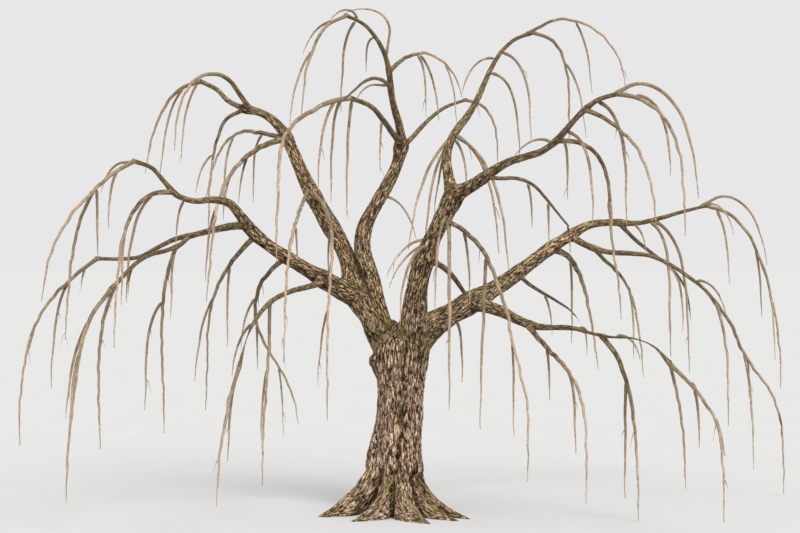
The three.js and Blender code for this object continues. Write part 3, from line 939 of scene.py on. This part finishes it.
def shoot_bark(name, colour):
    """Smooth young bark in one base colour, with faint lengthwise streaks and small pale pores."""
    material, tree, shader = bare_material(name)
    place = read(tree, "grain").outputs["Vector"]
    streaks = add_node(tree, "ShaderNodeTexNoise", Scale=1.0, Detail=3.0, Roughness=0.6)
    link(tree, stretched(tree, place, 95, 6.0), streaks.inputs["Vector"])
    pores = add_node(tree, "ShaderNodeTexVoronoi", Scale=1.0)
    link(tree, stretched(tree, place, 70, 1.6), pores.inputs["Vector"])
    streak = ramp(tree, streaks.outputs["Fac"], 0.36, 0.66)
    shade = tuple(0.55 * part for part in colour)
    lit = tuple(min(1.28 * part, 1.0) for part in colour)
    tone = blend(tree, streak, shade, lit)
    pore = ramp(tree, pores.outputs["Distance"], 0.22, 0.12)
    tone = blend(tree, times(tree, pore, 0.35), tone, (0.60, 0.47, 0.33))
    link(tree, tone, shader.inputs["Base Color"])
    rough = worked_out(tree, "SUBTRACT", 0.78, times(tree, streak, 0.14))
    link(tree, rough, shader.inputs["Roughness"])
    bump = add_node(tree, "ShaderNodeBump", Strength=0.7, Distance=0.003)
    link(tree, worked_out(tree, "ADD", streak, pore), bump.inputs["Height"])
    link(tree, bump.outputs["Normal"], shader.inputs["Normal"])
    shader.inputs["Specular IOR Level"].default_value = 0.3
    return material


shoot_materials = [furrowed] + [shoot_bark(name, colour) for name, colour in tints.items()]


def dealt_tints(count, oldest, youngest):
    """The material of each ring of a shoot: older towards the foot, in patches a hand or two long."""
    tone = []
    while len(tone) < count:
        age = oldest + (youngest - oldest) * min(1, 1.6 * len(tone) / count)
        patch = round(age + shoot_draws.uniform(-1.1, 1.1))
        patch = min(max(patch, 0), len(tints))
        tone += [patch] * int(shoot_draws.integers(2, 7))
    return np.array(tone[:count])


def shoots_piece(name, nodes, shoots, sides):
    """One joined mesh of closed tubes, each shoot with its line, radii and tints."""
    corners, loops, closings = [], [], []
    tone, closing_tone = [], []
    straight, girth = [], []
    count = 0
    for number, (line, radii, tint) in enumerate(shoots):
        vertices, quads, caps = tube(line, radii, sides)
        corners.append(vertices)
        loops.append(np.array(quads) + count)
        closings += [[corner + count for corner in cap] for cap in caps]
        tone.append(np.repeat(tint[:-1], sides))
        closing_tone += [tint[0], tint[-1]]
        turn = np.tile(np.arange(sides) * 2 * math.pi / sides, len(line))
        thick = np.repeat(radii, sides)
        on = np.repeat(lengths(line), sides) + 5 * number
        straight.append(np.column_stack((np.cos(turn) * thick, np.sin(turn) * thick, on)))
        girth.append(thick)
        count += len(vertices)
    straight = np.vstack(straight)
    mesh = bpy.data.meshes.new(name)
    mesh.from_pydata(np.vstack(corners), [], np.vstack(loops).tolist() + closings)
    mesh.shade_smooth()
    for material in shoot_materials:
        mesh.materials.append(material)
    mesh.polygons.foreach_set("material_index", np.concatenate((np.concatenate(tone), closing_tone)))
    backs_and_shade = 0.35 + 0.65 * plates(straight, width=0.02, length=0.09)
    keep_on(mesh, straight, plate_back=backs_and_shade, moss=np.zeros(count), girth=np.concatenate(girth))
    piece = added(name, mesh)
    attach(piece, "root")
    if nodes:
        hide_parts(*nodes)


# The branches and withes follow their solids, the shoots grow on from all the limbs, and they are
# joined kind by kind in two halves of the crown.
branch_lines = {name: fine_limb(name) for name in kinds["branch_bark"]}
withe_lines = {name: fine_limb(name) for name in kinds["withe_bark"]}
carriers = {**bough_lines, **branch_lines, **withe_lines}
shoot_lines = {}
for carrier, rows in hanging.items():
    shoot_lines[carrier] = [shoot_line(carrier, *row) for row in rows]


def is_western(line):
    """Whether a limb starts in the left half of the crown."""
    return line[0][0] < middle_of_crown


for side, wanted in (("western", True), ("eastern", False)):
    names = [name for name, (line, _) in branch_lines.items() if is_western(line) == wanted]
    shoots = []
    for name in names:
        line, radii = branch_lines[name]
        tint = dealt_tints(len(line), oldest=-2.5, youngest=5)
        tint = np.where(np.arange(len(line)) < 0.3 * len(line), 0, tint)
        shoots.append((line, radii, tint))
    shoots_piece(f"{side}_branches", names, shoots, sides=10)
    names = [name for name, (line, _) in withe_lines.items() if is_western(line) == wanted]
    shoots = []
    for name in names:
        line, radii = withe_lines[name]
        shoots.append((line, radii, dealt_tints(len(line), oldest=1.5, youngest=5)))
    for carrier, lines in shoot_lines.items():
        if is_western(limbs[carrier][0]) != wanted:
            continue
        for line, radii in lines:
            shoots.append((line, radii, dealt_tints(len(line), oldest=1.2, youngest=5.3)))
    shoots_piece(f"{side}_withes", names, shoots, sides=8)


# The buds and twiglets. A willow shoot has a narrow bud pressed to it every few centimetres, turn and
# turn about, and now and then a short twiglet that soon hangs beside it.
def bud_places(line, radii):
    """Where the buds of a shoot sit: the place, the way along the shoot, and the way out from it."""
    first, second = frames_along(line)
    on = lengths(line)
    ahead = np.gradient(line, axis=0)
    ahead /= np.linalg.norm(ahead, axis=1)[:, None]
    found = []
    first_bud = 0.35
    golden_turn = 2.4
    spot = first_bud
    turn = shoot_draws.uniform(0, 6.28)
    while spot < on[-1] - 0.03:
        ring = np.searchsorted(on, spot)
        out = math.cos(turn) * first[ring] + math.sin(turn) * second[ring]
        found.append((line[ring] + out * radii[ring] * 0.8, ahead[ring], out, radii[ring]))
        spot += shoot_draws.uniform(0.07, 0.13)
        turn += golden_turn
    return found


def pointed_drops(drops):
    """Closed drops of six corners, each from its foot, length, heading, side and thickness."""
    corners, faces = [], []
    for foot, length, heading, out, thick in drops:
        beside = np.cross(heading, out)
        count = len(corners)
        corners.append(foot - heading * 0.1 * length)
        for across in (out, beside, -out * 0.6, -beside):
            corners.append(foot + heading * 0.4 * length + across * thick)
        corners.append(foot + heading * length + out * 0.25 * thick)
        for here, after in ((1, 2), (2, 3), (3, 4), (4, 1)):
            faces.append((count, count + after, count + here))
            faces.append((count + 5, count + here, count + after))
    return corners, faces


bud_thickness = 0.0055
twiglet_share = 0.03
every_shoot = list(withe_lines.values()) + list(branch_lines.values())
for lines in shoot_lines.values():
    every_shoot += lines
drops, twiglets = [], []
for line, radii in every_shoot:
    for place, ahead, out, thick in bud_places(line, radii):
        length = shoot_draws.uniform(0.022, 0.034)
        drops.append((place, length, ahead * 0.94 + out * 0.3, out, bud_thickness))
        if shoot_draws.random() < twiglet_share:
            reach = shoot_draws.uniform(0.1, 0.3)
            travel = np.linspace(0, reach, 8)
            sink = (1 - np.exp(-travel / 0.12))[:, None]
            side = travel[:, None] * (ahead * 0.75 + out * 0.6) * (1 - 0.55 * sink)
            level = np.zeros_like(travel)
            hang = np.column_stack((level, level, -0.6 * travel * sink[:, 0]))
            taper = min(0.5 * thick, 0.009) * (1 - 0.75 * travel / reach)
            spray = place + side + hang
            if spray[:, 2].min() > 0.03:
                twiglets.append((spray, taper, dealt_tints(len(travel), oldest=3, youngest=5)))
shoots_piece("twiglets", [], twiglets, sides=5)
corners, faces = pointed_drops(drops)
mesh = bpy.data.meshes.new("buds")
mesh.from_pydata(corners, [], faces)
mesh.shade_smooth()
drop_of = np.repeat(np.arange(len(drops)), 6)
within = np.array(corners) - np.array(corners)[drop_of * 6]
keep_on(mesh, within + drop_of[:, None])
mesh.materials.append(shoot_bark("bud_scale", (0.30, 0.155, 0.065)))
buds = added("buds", mesh)
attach(buds, "root")


# The ground is a plain pale floor that runs out of sight, under an even sky and two wide soft suns.
far = 1500
floor_mesh = bpy.data.meshes.new("floor")
floor_corners = [(-far, -far, 0), (far, -far, 0), (far, far, 0), (-far, far, 0)]
floor_mesh.from_pydata(floor_corners, [], [(0, 1, 2, 3)])
floor = added("floor", floor_mesh)
pale, tree, shader = bare_material("pale_floor")
place = add_node(tree, "ShaderNodeTexCoord").outputs["Object"]
speckle = add_node(tree, "ShaderNodeTexNoise", Scale=0.6, Detail=2.0)
link(tree, place, speckle.inputs["Vector"])
floor_colour = blend(tree, speckle.outputs["Fac"], (0.585, 0.585, 0.58), (0.615, 0.615, 0.61))
link(tree, floor_colour, shader.inputs["Base Color"])
shader.inputs["Roughness"].default_value = 1.0
shader.inputs["Specular IOR Level"].default_value = 0.0
floor_mesh.materials.append(pale)


def soft_sun(name, place, strength, width):
    """A sun that shines from a place towards the tree, so many degrees wide."""
    data = bpy.data.lights.new(name, "SUN")
    data.energy = strength
    data.angle = math.radians(width)
    added(name, data).rotation_euler = Vector(place).to_track_quat("Z", "Y").to_euler()


soft_sun("high_sun", (0.45, -0.75, 1.0), strength=2.2, width=30)
soft_sun("side_sun", (-0.9, -0.5, 0.5), strength=0.2, width=60)
world = bpy.data.worlds.new("studio")
world.use_nodes = True
world.node_tree.nodes["Background"].inputs["Color"].default_value = (1.0, 1.0, 1.0, 1)
world.node_tree.nodes["Background"].inputs["Strength"].default_value = 0.8
bpy.context.scene.world = world
bpy.context.scene.view_settings.view_transform = "Standard"
